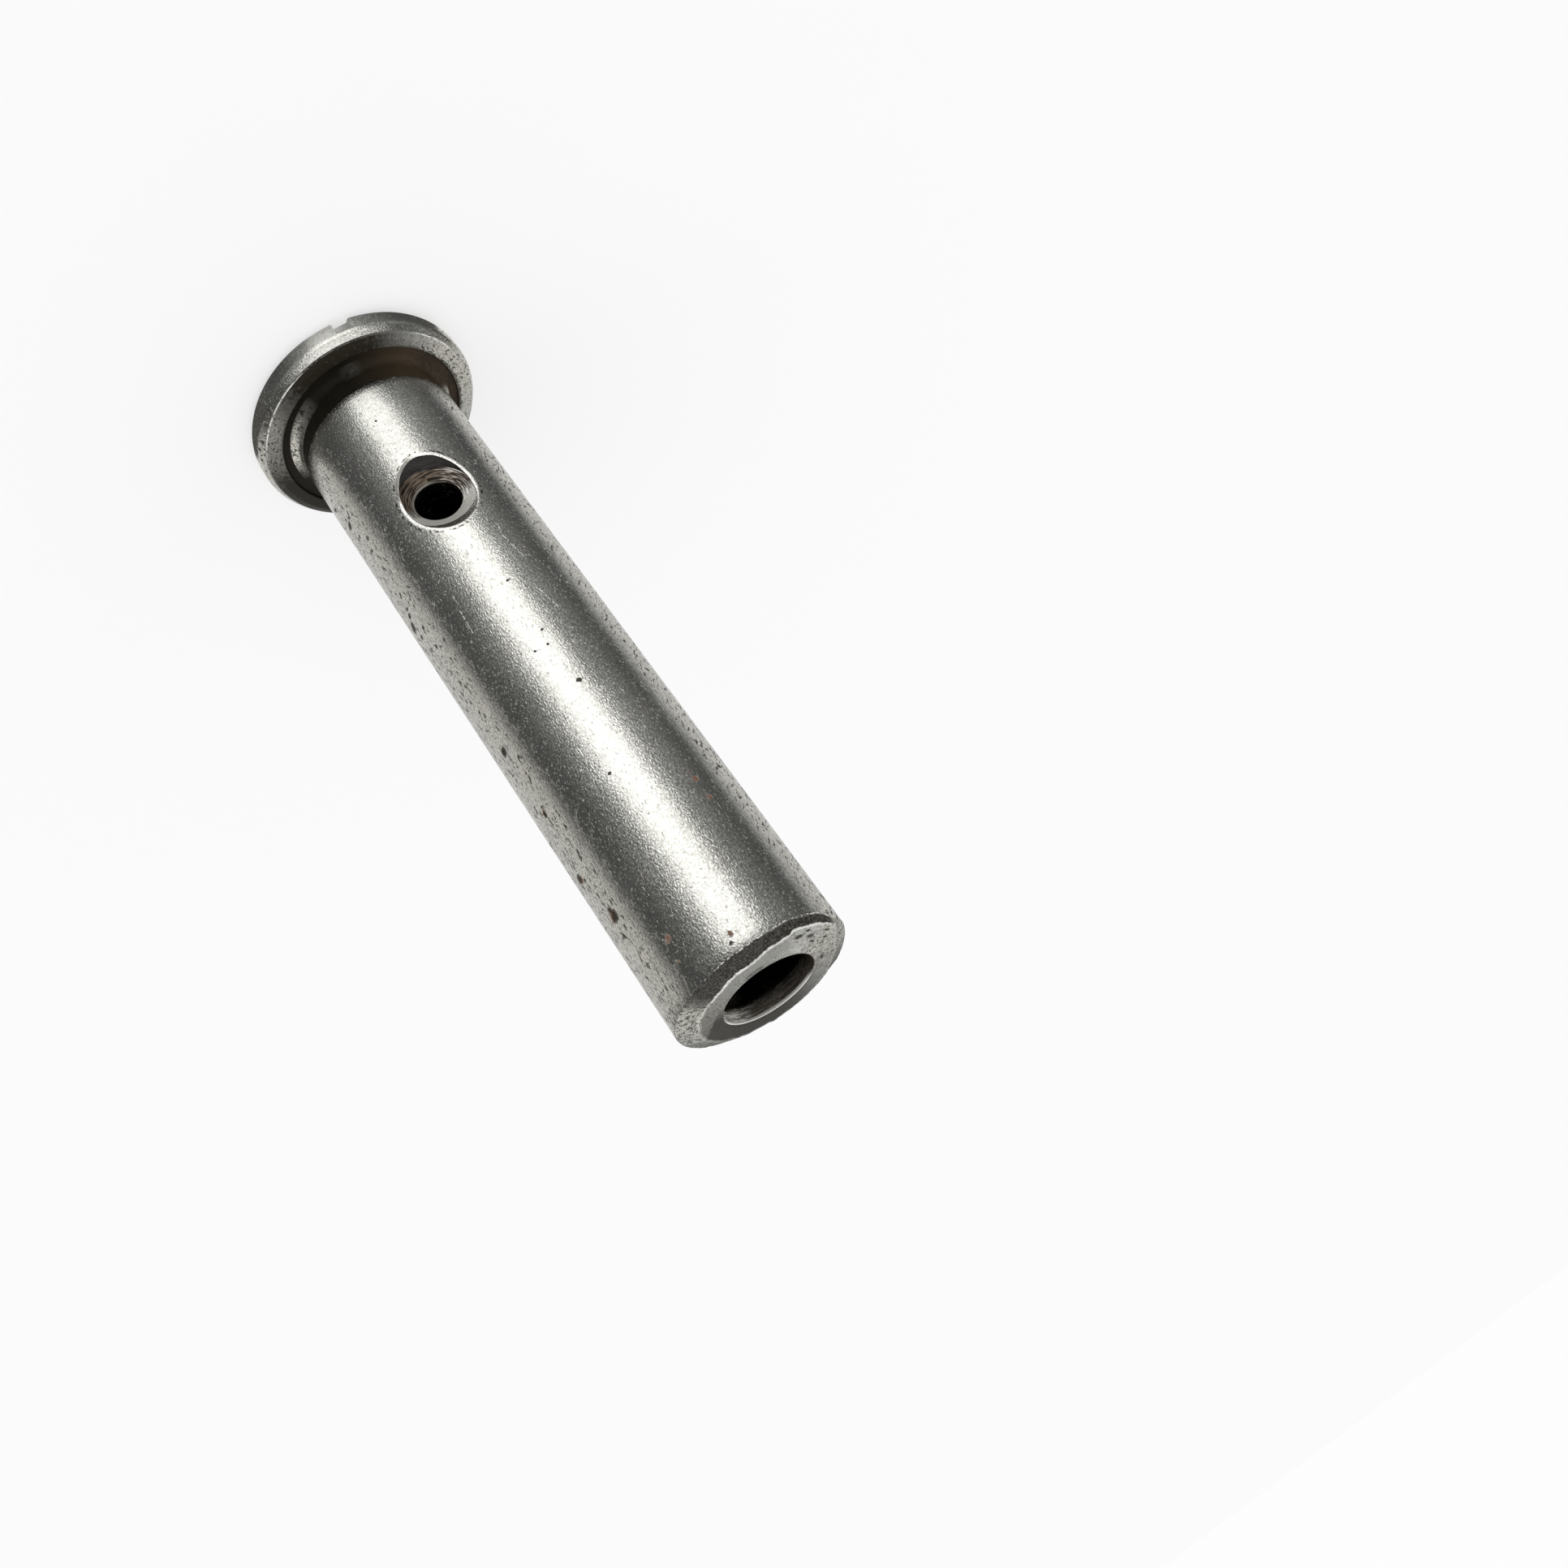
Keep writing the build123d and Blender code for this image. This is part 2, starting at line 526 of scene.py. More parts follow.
def press_nick(mesh):
    """Move the points near the nick, and give back how many there were."""
    near = [edge for edge in mesh.edges if all(on_rim(vert, 2) for vert in edge.verts)]
    bmesh.ops.subdivide_edges(mesh, edges=near, cuts=2, use_grid_fill=True)
    moved = 0
    for vert in mesh.verts:
        if on_rim(vert, 1.6):
            radius = vert.co.to_2d().length
            across = (azimuth(vert.co) - nick_turn) * degrees_to_mm
            fade = clamped((3.0 - vert.co.z) / 1.6) * clamped((radius - head_radius + 2.6) / 0.8)
            depth = nick_profile(across) * fade
            outward = Vector((vert.co.x / radius, vert.co.y / radius, 0))
            vert.co -= (outward * cos(nick_tilt) - Vector((0, 0, sin(nick_tilt)))) * depth
            vert.co.z = max(0, vert.co.z)
            vert.co.xy *= min(1, (head_radius - 0.005) / vert.co.to_2d().length)
            moved += 1
    return moved


print(press_nick(pin), "points looked at by the nick")

# %% [markdown]
# ## From working mesh to object
# The mesh is shaded smooth, with true corners kept sharp, and only now turned from millimetres
# into metres. It takes the imported solid's place: the solid is hidden and the skin is attached to the root
# body.

# %% Finish the mesh
sharp_angle = radians(38)


def finish_mesh(mesh, name):
    """Turn the working mesh into an object in metres."""
    bmesh.ops.recalc_face_normals(mesh, faces=mesh.faces[:])
    for face in mesh.faces:
        face.smooth = True
    for edge in mesh.edges:
        edge.smooth = edge.calc_face_angle(0) < sharp_angle
    bmesh.ops.scale(mesh, vec=(MM, MM, MM), verts=mesh.verts[:])
    data = bpy.data.meshes.new(name)
    mesh.to_mesh(data)
    mesh.free()
    obj = bpy.data.objects.new(name, data)
    bpy.context.scene.collection.objects.link(obj)
    return obj


skin = finish_mesh(pin, "turned_pin")
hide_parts("clevis_pin")
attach(skin, "root")
triangles = sum(len(face.vertices) - 2 for face in skin.data.polygons)
print(triangles, "triangles in the pin")

# %% [markdown]
# ## Writing shaders as sums
# A finish is worked out with many small sums. A Wire is the output of a node: arithmetic on it
# adds the Math node that does it, so `1 - mask` can be written as it is read.

# %% Wires that can be added and multiplied


class Wire:
    """The output of a node. Arithmetic on it adds Math nodes."""

    def __init__(self, bench, socket):
        self.bench = bench
        self.socket = socket

    def __add__(self, other):
        return self.bench.maths("ADD", self, other)

    __radd__ = __add__

    def __sub__(self, other):
        return self.bench.maths("SUBTRACT", self, other)

    def __rsub__(self, other):
        return self.bench.maths("SUBTRACT", other, self)

    def __mul__(self, other):
        return self.bench.maths("MULTIPLY", self, other)

    __rmul__ = __mul__

    def __truediv__(self, other):
        return self.bench.maths("DIVIDE", self, other)

    def __rtruediv__(self, other):
        return self.bench.maths("DIVIDE", other, self)

    def __pow__(self, other):
        return self.bench.maths("POWER", self, other)

    def __abs__(self):
        return self.bench.maths("ABSOLUTE", self)

    def at_least(self, other):
        return self.bench.maths("MAXIMUM", self, other)

    def ramp(self, start, end):
        """A smooth rise from 0 at start to 1 at end. It falls with the value if start is larger."""
        limits = {"Value": self, "From Min": min(start, end), "From Max": max(start, end)}
        rise = self.bench.node("MapRange", {"interpolation_type": "SMOOTHSTEP"}, limits)
        return rise if start < end else 1 - rise

    def band(self, low, high, soft):
        """1 between low and high, with soft edges of this width outside them."""
        return self.ramp(low - soft, low) * self.ramp(high + soft, high)

    def output(self, name):
        """Another output of the same node."""
        return Wire(self.bench, self.socket.node.outputs[name])


print("wires ready")

# %% [markdown]
# ## The bench
# A Bench is the node tree being wired. Its method `node` adds any node, and the others are short
# names for what is needed often. `by_stops` is a colour ramp used as a graph: it turns a number
# into another one that follows a list of points.

# %% A bench to wire nodes on


class Bench:
    """The node tree of one finish or sky while it is wired."""

    def __init__(self, owner):
        owner.use_nodes = True
        self.tree = owner.node_tree
        self.tree.nodes.clear()

    def node(self, kind, settings=None, sockets=None):
        """Add a node, set it up, then give its sockets their values or wires."""
        node = self.tree.nodes.new("ShaderNode" + kind)
        for name, value in (settings or {}).items():
            setattr(node, name, value)
        for name, value in (sockets or {}).items():
            if isinstance(value, Wire):
                self.tree.links.new(value.socket, node.inputs[name])
            else:
                node.inputs[name].default_value = value
        return Wire(self, node.outputs[0] if node.outputs else None)

    def maths(self, operation, *values):
        return self.node("Math", {"operation": operation}, dict(enumerate(values)))

    def axes(self, vector):
        """The three parts of a vector."""
        parts = self.node("SeparateXYZ", {}, {0: vector})
        return parts, parts.output(1), parts.output(2)

    def joined(self, x, y, z):
        return self.node("CombineXYZ", {}, {0: x, 1: y, 2: z})

    def scaled(self, vector, factors):
        """A place or a colour, multiplied by three factors or by one number for all three."""
        return self.node("VectorMath", {"operation": "MULTIPLY"}, {0: vector, 1: factors})

    def mixed(self, factor, first, second):
        """The first colour where factor is 0 and the second where it is 1."""
        mix = self.node("Mix", {"data_type": "RGBA"}, {0: factor, 6: first, 7: second})
        return mix.output(2)

    def by_stops(self, value, points):
        """A number that follows a list of (value, result) points, straight between them."""
        first, last = points[0][0], points[-1][0]
        ramp = self.node("ValToRGB", {}, {0: (value - first) / (last - first)})
        elements = ramp.socket.node.color_ramp.elements
        elements.remove(elements[0])
        for index, (at, result) in enumerate(points):
            position = (at - first) / (last - first)
            stop = elements[0] if index == 0 else elements.new(position)
            stop.position = position
            stop.color = (result, result, result, 1)
        return ramp

    def clouds(self, place, size, detail=2.0, sharpness=0.5):
        """Soft noise about 0.5, with features of this size in mm."""
        return self.node("TexNoise", {}, {"Vector": place, "Scale": 1 / size, "Detail": detail,
                                          "Roughness": sharpness})


print("bench ready")

# %% [markdown]
# ## Places on the steel
# Every mark is placed by where it is on the pin: its height, its distance from the axis and its
# turn in degrees from the cross hole. An image could hold the same marks, but it would need the
# skin unwrapped and would blur close up. The Object coordinates are scaled to millimetres first.
# The layers made with the mesh tell where the worn end and the hole's lip run.

# %% Measure places in the shader


def long_side(a, b):
    """The long side of a right triangle with these two short sides."""
    return (a * a + b * b) ** 0.5


def turn_of(x, y):
    """Degrees round an axis from the -Y side, which the cross hole faces, towards +X."""
    return x.bench.maths("ARCTAN2", x, y * -1) * (180 / pi)


steel = bpy.data.materials.new("worn_steel")
bench = Bench(steel)
place = bench.scaled(bench.node("TexCoord").output("Object"), (1 / MM, 1 / MM, 1 / MM))
x, y, height = bench.axes(place)
radius = long_side(x, y)
turn = turn_of(x, y)
arc = turn * (pi / 180 * shank_radius)
above_ring = height - bearing_height
below_end = full_length - height
outer_edge, inner_edge, hole_depth = [
    bench.node("Attribute", {"attribute_name": name}).output("Fac")
    for name in ("past_outer", "past_inner", "into_hole")]
print(len(steel.node_tree.nodes), "nodes to measure places")

# %% [markdown]
# ## Noise
# All the random looks come from a few noises, coarse to fine. The finest is stretched along the
# pin, as it was rubbed that way. Used as height, it breaks the light up into small glints.

# %% Noises, coarse to fine
patches = bench.clouds(place, 7.0, 3.0, 0.55)
mottle = bench.clouds(place, 1.1, 3.0, 0.6)
crumbs = bench.clouds(place, 0.45, 2.0, 0.6)
grain = bench.clouds(bench.scaled(place, (1, 1, 0.55)), 0.17, 1.0, 0.5)
fine = bench.clouds(place, 0.09, 1.0, 0.5)
speckle = bench.clouds(bench.scaled(place, (1, 1, 0.7)), 0.19, 1.0, 0.6).ramp(0.34, 0.66)
ragged = (crumbs - 0.5) * 0.7 + (mottle - 0.5) * 0.5
print(len(steel.node_tree.nodes), "nodes so far")

# %% [markdown]
# ## Bare steel
# The pin is satin grey with a fine speckle. Two strips along the sides of the shank, where the
# steel reflects the grey table, get a warmer, flatter tone, which is a painted tint of that
# reflection. The speckle and the flecks are strongest a little to each side of the front, where the
# edges of the light band fall, so their strength is a graph of the turn and is partly painted
# sparkle. Flecks are tiny raised scratches, and their pale colour is a painted glint. The colours
# are laid over each other, each through its own mask.

# %% Bare steel
grey_steel = (0.437, 0.436, 0.405, 1)
pale_steel = (0.497, 0.495, 0.463, 1)
dull_steel = (0.36, 0.345, 0.32, 1)
strip_reflection_tint = (0.5, 0.48, 0.415, 1)
glint_steel = (0.8, 0.8, 0.78, 1)

strips = abs(turn).ramp(44, 54) * abs(turn).ramp(115, 88)
# strongest where the edges of the light band fall, so this speckle is partly painted sparkle
bite = bench.by_stops(abs(turn - 5), [
    (0, 0.28), (8, 0.36), (15, 0.72), (24, 0.7), (29, 0.6), (35, 0.36), (41, 0.26), (47, 0.3),
    (54, 0.5), (65, 0.6), (92, 0.6), (115, 0.42), (180, 0.36)]) * 1.25
flecks = bench.clouds(bench.joined(arc, height * 0.35, radius), 0.16, 1.0, 0.5).ramp(0.66, 0.74)
flecks = flecks * mottle.ramp(0.4, 0.6)
colour = bench.mixed(patches.ramp(0.35, 0.7), grey_steel, pale_steel)
colour = bench.mixed(mottle.ramp(0.4, 0.75) * 0.3, colour, dull_steel)
# painted reflection: a warmer tint where the strips reflect the grey table
colour = bench.mixed(strips * (0.6 - crumbs.ramp(0.4, 0.7) * 0.3), colour, strip_reflection_tint)
colour = bench.scaled(colour, 1 + (speckle - 0.5) * (bite * 0.66 + strips * 0.06))
# painted glint: the flecks are made pale where the light band's edges fall
colour = bench.mixed(flecks * bite * 0.6, colour, glint_steel)
print(len(steel.node_tree.nodes), "nodes so far")

# %% [markdown]
# ## Pits and dashes
# A pit is where a noise rises above a limit, which gives it a ragged outline that a dot never
# has. Another, coarser noise gathers the pits into clusters. Most lie in the two strips.
# Stretched noise gives dashes: along the pin on one side and slanting on the other.

# %% Scattered marks


def strongest(*masks):
    """The largest of several masks at each place."""
    total = masks[0]
    for mask in masks[1:]:
        total = total.at_least(mask)
    return total


def stretched(across, along):
    """Noise whose features are about three times as long one way of the shank as the other."""
    return bench.clouds(bench.joined(across, along * 0.3, radius), 0.3, 2.0, 0.6)


calm = abs(turn - 1).ramp(8, 16)
clusters = 0.35 + patches.ramp(0.42, 0.62) * 0.65
pits = bench.clouds(place, 0.5, 2.0, 0.65).ramp(0.665, 0.72) * clusters
specks = bench.clouds(place, 0.28, 1.0, 0.5).ramp(0.67, 0.73) * (0.1 + calm * 0.9)
dashes = stretched(arc, height).ramp(0.59, 0.65) * turn.ramp(40, 56) * turn.ramp(112, 88)
slant = radians(-38)
across_slant = arc * cos(slant) + height * sin(slant)
along_slant = height * cos(slant) - arc * sin(slant)
slants = stretched(across_slant, along_slant).ramp(0.58, 0.65)
slants = slants * turn.ramp(-40, -50) * turn.ramp(-112, -88)
scattered = strongest(pits * (0.06 + calm * 0.24 + strips * 0.8), dashes, slants, specks * 0.7)
print(len(steel.node_tree.nodes), "nodes so far")

# %% [markdown]
# ## Marks at known places
# Some marks are large enough to be told apart: brown rust spots, deep pits in the shank and in
# the head's rim, short dashes on the end face and a few long scratches. Each is listed with its
# place. A spot is a ball round its place, with its edge made ragged by noise. A scratch is a
# narrow band along a line from one place to another.

# %% List the marks
# Rust and pits on the shank: turn in degrees, height in mm and radius in mm.
rust_spots = [
    (39.8, 89.2, 0.42), (-29, 78.7, 0.3), (-28, 76.2, 0.4), (-27, 75.2, 0.2), (66, 82.4, 0.7),
    (9.5, 93.0, 0.32), (74, 76.3, 0.4), (67, 68.0, 0.4), (68, 59.0, 0.4), (42, 91.6, 0.15)]
deep_pits = [
    (67.3, 59.1, 0.6), (78.8, 37.2, 0.7), (64.8, 82.6, 0.6), (-3.8, 59.7, 0.27), (76.2, 76.0, 0.6),
    (73.9, 20.0, 0.5), (80.0, 15.8, 0.35), (66.8, 68.3, 0.4), (66.0, 81.6, 0.33), (72.9, 36.2, 0.33),
    (66.6, 26.0, 0.26), (-55.8, 59.9, 0.3), (66.1, 67.4, 0.22), (70.1, 35.5, 0.22), (65.8, 39.5, 0.26),
    (65.6, 42.8, 0.24), (74.9, 39.4, 0.3), (-56.2, 74.4, 0.28), (-3.2, 51.8, 0.17), (30.3, 81.6, 0.15),
    (70.6, 77.0, 0.2), (-55.2, 71.0, 0.22), (60.5, 75.3, 0.22), (8.2, 53.8, 0.13), (-1, 53.8, 0.13),
    (13.3, 71.2, 0.14), (-3.4, 43.8, 0.16), (12.0, 93.9, 0.18), (7.1, 13.8, 0.16), (70.4, 22.7, 0.2)]
# Pits in the head's rim, in the same order.
rim_pits = [(58.1, 4.0, 0.4), (68.8, 3.9, 0.36), (68.5, 2.6, 0.25), (74, 3.4, 0.25)]
# Dashes on the end face: turn, distance from the axis and size.
face_dashes = [
    (-21.3, 9.34, 0.3), (-30.8, 8.24, 0.4), (-42.6, 8.0, 0.42), (-50.7, 7.22, 0.25),
    (-89.3, 6.48, 0.3), (-55.8, 8.85, 0.22), (-62, 8.0, 0.2), (-36, 8.9, 0.22)]
# Scratches: turn and height of one end and of the other, then half the width in mm.
scratches = [
    (-18.7, 37.6, -22.4, 41.6, 0.06), (-18.0, 46.8, -20.7, 49.6, 0.07), (-17.2, 46.4, -18.4, 47.2, 0.09),
    (33.5, 46.6, 32.5, 43.4, 0.05), (31.5, 42.6, 30.8, 41.2, 0.05), (-20.2, 35.6, -19.3, 37.0, 0.05)]
print(len(rust_spots), "rust spots,", len(deep_pits), "deep pits,", len(scratches), "scratches")

# %% Draw the listed marks


def listed_spots(spots, edge, reach):
    """Spots on a side at this distance from the axis, each with a ragged edge."""
    found = []
    for turned_by, up, size in spots:
        middle = (reach * sin(radians(turned_by)), -reach * cos(radians(turned_by)), up)
        gap = bench.node("VectorMath", {"operation": "DISTANCE"}, {0: place, 1: middle}).output("Value")
        found.append((gap + edge).ramp(size * 1.25, size * 0.75))
    return strongest(*found)


def listed_dashes(dashes, edge):
    """Short dashes on the end face, each twice as long round the axis as across."""
    found = []
    for turned_by, reach, size in dashes:
        along = (turn - turned_by) * (pi / 180 * reach * 0.5)
        gap = long_side(along, radius - reach)
        found.append((gap + edge * 0.5).ramp(size, size * 0.5))
    return strongest(*found) * below_end.ramp(1.0, 0.6)


def listed_scratches(lines):
    """Straight scratches on the shank."""
    found = []
    for turn_a, up_a, turn_b, up_b, width in lines:
        share = (height - up_a) / (up_b - up_a)
        off = abs(turn - turn_a - share * (turn_b - turn_a)) * (pi / 180 * shank_radius)
        found.append(off.ramp(width * 1.8, width * 0.6) * share.band(0, 1, 0.1))
    return strongest(*found) * radius.ramp(shank_radius - 0.5, shank_radius - 0.1)


rust = listed_spots(rust_spots, ragged * 1.1, shank_radius) * crumbs.ramp(0.3, 0.42)
shank_holes = listed_spots(deep_pits, ragged * 0.9, shank_radius)
rim_holes = listed_spots(rim_pits, ragged * 0.8, head_radius - 0.2)
lines = listed_scratches(scratches) * speckle.ramp(0.3, 0.6)
print(len(steel.node_tree.nodes), "nodes so far")

# %% [markdown]
# ## Grease and painted shade under the head
# Old grease has baked dark brown in the recess and in the groove, and it creeps over the ring
# that bears on the clevis. The groove, the root beside the shank and the parts of the ring that the
# shank shades are darkened further with painted shade. It is uneven round the pin, so its strength
# follows graphs of the turn. Each mask is 1 inside its zone and 0 outside. Where the clevis rubs,
# the outer edge of the ring gets a painted highlight at two places round the pin.

# %% Grease and painted shade under the head
dirt_and_shade_black = (0.02, 0.017, 0.012, 1)
black_grease_and_shade = (0.009, 0.0075, 0.005, 1)
brown_grease = (0.085, 0.06, 0.036, 1)

on_ring = above_ring.ramp(-0.2, -0.05) * radius.band(bearing_inner + 0.05, bearing_outer - 0.03, 0.08)
on_bevel = above_ring.band(-0.5, 0.02, 0.06) * radius.band(bearing_outer - 0.07, bearing_outer + 0.75, 0.05)
ring_edge = (radius + ragged * 0.08).band(bearing_outer + 0.62, bearing_outer + 0.71, 0.04)
ring_edge = ring_edge * above_ring.band(-0.5, -0.28, 0.1)
in_recess = above_ring.band(-0.8, -0.1, 0.08) * radius.band(10.7, bearing_inner, 0.1)
on_root = above_ring.band(-0.7, 0.7, 0.1) * radius.band(groove_radius - 0.25, 10.7, 0.1)
in_groove = above_ring.band(0.7, 3.15, 0.12) * radius.band(groove_radius - 0.35, groove_radius + 0.2, 0.08)
head_side = above_ring.ramp(-0.3, -0.5) * radius.ramp(head_radius - 0.9, head_radius - 0.6)

# dirt, and painted shade where the shank shades the ring and darkens what it reflects
ring_dirt_and_shade = strongest(on_ring, on_bevel) * bench.by_stops(turn, [
    (-180, 0.5), (-110, 0.25), (-60, 0.2), (-38, 0.55), (-15, 0.95), (25, 1), (45, 0.8), (58, 0.5),
    (80, 0.65), (95, 0.9), (106, 1), (180, 1)]) * (0.85 + crumbs * 0.4)
creeping = on_ring * (radius + ragged * 1.2).ramp(12.4, 12.1)
ring_dirt_and_shade = strongest(ring_dirt_and_shade, creeping * 0.75, on_ring * patches.ramp(0.5, 0.62) * 0.4)
# painted highlight on the ring's rubbed outer edge, at two places round the pin
rubbed_edge_highlight = ring_edge * crumbs.ramp(0.38, 0.5) * bench.by_stops(turn, [
    (-180, 0), (-66, 0), (-60, 0.9), (-43, 0.9), (-38, 0.1), (22, 0.1), (34, 0.9), (66, 0.9),
    (80, 0.1), (180, 0)])
clean_root = on_root * mottle.ramp(0.3, 0.5) * bench.by_stops(turn, [
    (-180, 0), (-135, 0), (-112, 1), (-98, 1), (-84, 0), (-8, 0), (0, 0.06), (10, 0), (34, 0),
    (48, 0.22), (60, 0.75), (72, 1), (88, 0.95), (98, 0.3), (108, 0), (180, 0)])
# grease, and painted shade in the groove and on the root beside the shank
grease_and_shade = strongest(in_recess, on_root, in_groove) * (1 - clean_root)
thin_grease = bench.by_stops(turn, [
    (-180, 0.4), (-100, 0.55), (-40, 0.6), (-15, 0.25), (5, 0), (180, 0.1)])
brown = bench.mixed(thin_grease * (0.6 + patches.ramp(0.3, 0.6) * 0.4), black_grease_and_shade, brown_grease)
colour = bench.mixed(ring_dirt_and_shade, colour, dirt_and_shade_black)
colour = bench.mixed(grease_and_shade, colour, brown)
print(len(steel.node_tree.nodes), "nodes so far")

# %% [markdown]
# ## Inside the countersink
# The small end of the cone is brown with old grease, in arcs that the tool left. The part towards
# the head is dark with oily arcs and painted shade, the part towards the free end is paler grey, and
# one side has bright streaks. The arcs are one noise whose places are the distance from the hole's
# axis and the angle round it, so it runs in rings.

# %% Inside the countersink
light_oil_and_shade = (0.026, 0.024, 0.022, 1)
dark_oil_and_shade = (0.01, 0.009, 0.008, 1)
rusty_arc = (0.13, 0.1, 0.074, 1)
black_arc = (0.008, 0.006, 0.004, 1)
bare_rim = (0.24, 0.23, 0.2, 1)
pale_cone_grey = (0.42, 0.41, 0.37, 1)
bright_streak = (0.75, 0.74, 0.7, 1)
hole_wall = (0.1, 0.09, 0.075, 1)

small_end_shift = 0.2
rise = height - hole_height
hole_reach = long_side(x - small_end_shift, rise)
hole_angle = bench.maths("ARCTAN2", x, rise)
arcs = bench.clouds(bench.joined(hole_reach * 4, hole_angle * 0.9, 0), 0.6, 2.0, 0.65)
in_cone = hole_depth.band(0.22, 3.1, 0.06)
in_wall = hole_depth.ramp(3.15, 3.3)
cone_dirt = (hole_reach + ragged * 0.3 - x.ramp(-1, 3) * 0.25).ramp(4.4, 4.25)
cone_dirt = cone_dirt * in_cone * rise.ramp(1.6, -0.4)
# oily arcs and painted shade on the head side of the cone, near its mouth
cone_oil_and_shade = in_cone * hole_reach.ramp(4.1, 4.3) * rise.ramp(1.5, -1.5)
# paler grey towards the free end
cone_pale_side = in_cone * rise.ramp(0.4, 1.8) * hole_reach.ramp(4.6, 4.4)
cone_streaks = in_cone * arcs.ramp(0.46, 0.38) * x.ramp(-0.5, -2.5) * hole_reach.ramp(4.5, 4.3)
cone_rim = in_cone * hole_reach.ramp(3.12, 3.0) * x.ramp(-1, 0.5)
colour = bench.mixed(cone_oil_and_shade, colour, bench.mixed(arcs.ramp(0.5, 0.6), light_oil_and_shade, dark_oil_and_shade))
colour = bench.mixed(cone_dirt, colour, bench.mixed(arcs.ramp(0.4, 0.6), rusty_arc, black_arc))
colour = bench.mixed(cone_rim * 0.7, colour, bare_rim)
colour = bench.mixed(cone_pale_side * 0.85, colour, pale_cone_grey)
colour = bench.mixed(cone_streaks * 0.65, colour, bright_streak)
colour = bench.mixed(in_wall * 0.8, colour, hole_wall)
print(len(steel.node_tree.nodes), "nodes so far")

# %% [markdown]
# ## The end face and its chamfer
# Oily dirt lies on the end face, mostly on the side away from the cross hole, and in the
# chamfer. The darkening of that side is partly painted shade, for the dark that it reflects. Both
# edges of the chamfer are rubbed, which shows as broken bright lines, with painted glints on the
# outer edge at the front, and the narrow side of it is pitted.

# %% The end face and its chamfer
face_grime_and_shade = (0.038, 0.036, 0.029, 1)
face_oil_and_shade = (0.026, 0.024, 0.019, 1)
chamfer_dirt = (0.02, 0.018, 0.015, 1)

end_face = inner_edge.ramp(0.0, 0.15)
# oily dirt, and painted shade standing in for the dark that the far side of the face reflects
face_dirt_and_shade = end_face * bench.by_stops(turn, [
    (-180, 0.95), (-150, 0.82), (-125, 0.6), (-105, 0.38), (-90, 0.2), (-70, 0), (-40, 0.08),
    (-12, 0.48), (20, 0.5), (80, 0.66), (110, 0.8), (140, 0.93), (180, 0.95)])
# a stain, with painted shade on the same far side
face_stain_and_shade = end_face * (x - y * 0.4 + ragged).ramp(6.5, 5.9) * y.ramp(-3.2, 0.5) * x.ramp(-6.5, -1.0)
face_edge = (inner_edge + ragged * 0.5).band(-0.08, 0.24, 0.1) * (0.3 + abs(turn).ramp(60, 40) * 0.7)
face_edge = face_edge * (0.25 + crumbs.ramp(0.35, 0.55) * 0.6) * radius.ramp(5.5, 5.8)
face_pits = end_face * abs(turn + 72).ramp(60, 40) * crumbs.ramp(0.57, 0.65)
fuzz = ragged * turn.ramp(15, 40) * 0.7 + turn.ramp(-12, 8) * 0.2
chamfer = (outer_edge + ragged * 0.12 + fuzz).ramp(-0.03, 0.1) * inner_edge.ramp(0.05, -0.12)
band_dirt = chamfer * bench.by_stops(turn, [
    (-180, 0.3), (-110, 0.1), (-72, 0.05), (-60, 0.4), (-54, 1), (48, 1), (57, 0.7), (65, 0.2),
    (100, 0.35), (180, 0.4)])
band_pits = chamfer * abs(turn - 85).ramp(45, 30) * crumbs.ramp(0.55, 0.62)
# painted glints: bright flecks along the chamfer's outer edge, kept to the front where the light falls
side_flecks_and_glints = (outer_edge + ragged * 0.2).band(-0.12, 0.02, 0.05) * crumbs.ramp(0.47, 0.56)
side_flecks_and_glints = side_flecks_and_glints * abs(turn + 10).ramp(50, 40)
colour = bench.mixed(face_dirt_and_shade, colour, face_grime_and_shade)
colour = bench.mixed(face_stain_and_shade * 0.95, colour, face_oil_and_shade)
colour = bench.mixed(band_dirt * (1 - speckle * 0.12), colour, chamfer_dirt)
print(len(steel.node_tree.nodes), "nodes so far")

# %% [markdown]
# ## Inside the bore
# The bore is dark with grease, and deeper in it is painted black as painted shade. Near its mouth
# the lit side is painted light, with the fine rings that a drill leaves: noise that changes fast
# along the pin and hardly at all round it.

# %% Inside the bore
bore_depth_shade = (0.004, 0.004, 0.003, 1)
bore_brown = (0.11, 0.088, 0.07, 1)
dark_ring = (0.34, 0.31, 0.25, 1)
bright_ring = (1, 1, 0.95, 1)

mouth_reach = long_side(x - mouth_shift.x, y - mouth_shift.y)
in_bore = mouth_reach.ramp(5.36, 5.3) * height.ramp(12, 13)
mouth = mouth_reach.band(5.2, 5.38, 0.05) * below_end.ramp(0.4, 0.2)
# painted highlight along the far side of the bore's mouth
mouth_highlight = mouth * bench.maths("COSINE", (turn - 175) * (pi / 180)).ramp(0.1, 0.5)
# painted light: the side of the bore's mouth that the light reaches
lit_side = (below_end - ragged * 0.5).ramp(2.0, 1.5) * bench.by_stops(turn, [
    (-180, 0.15), (-120, 0.1), (-90, 0), (84, 0), (98, 1), (140, 0.9), (162, 0.25), (180, 0.15)])
drill_rings = bench.clouds(bench.joined(turn * 0.012, height, 0), 0.24, 2.0, 0.7)
ringed = bench.mixed(drill_rings.ramp(0.46, 0.56), dark_ring, bright_ring)
# grease brown near the mouth, painted shade going black deeper in
grease_and_depth_shade = bench.mixed(below_end.ramp(2.4, 0.4), bore_depth_shade, bore_brown)
colour = bench.mixed(in_bore, colour, bench.mixed(lit_side, grease_and_depth_shade, ringed))
print(len(steel.node_tree.nodes), "nodes so far")

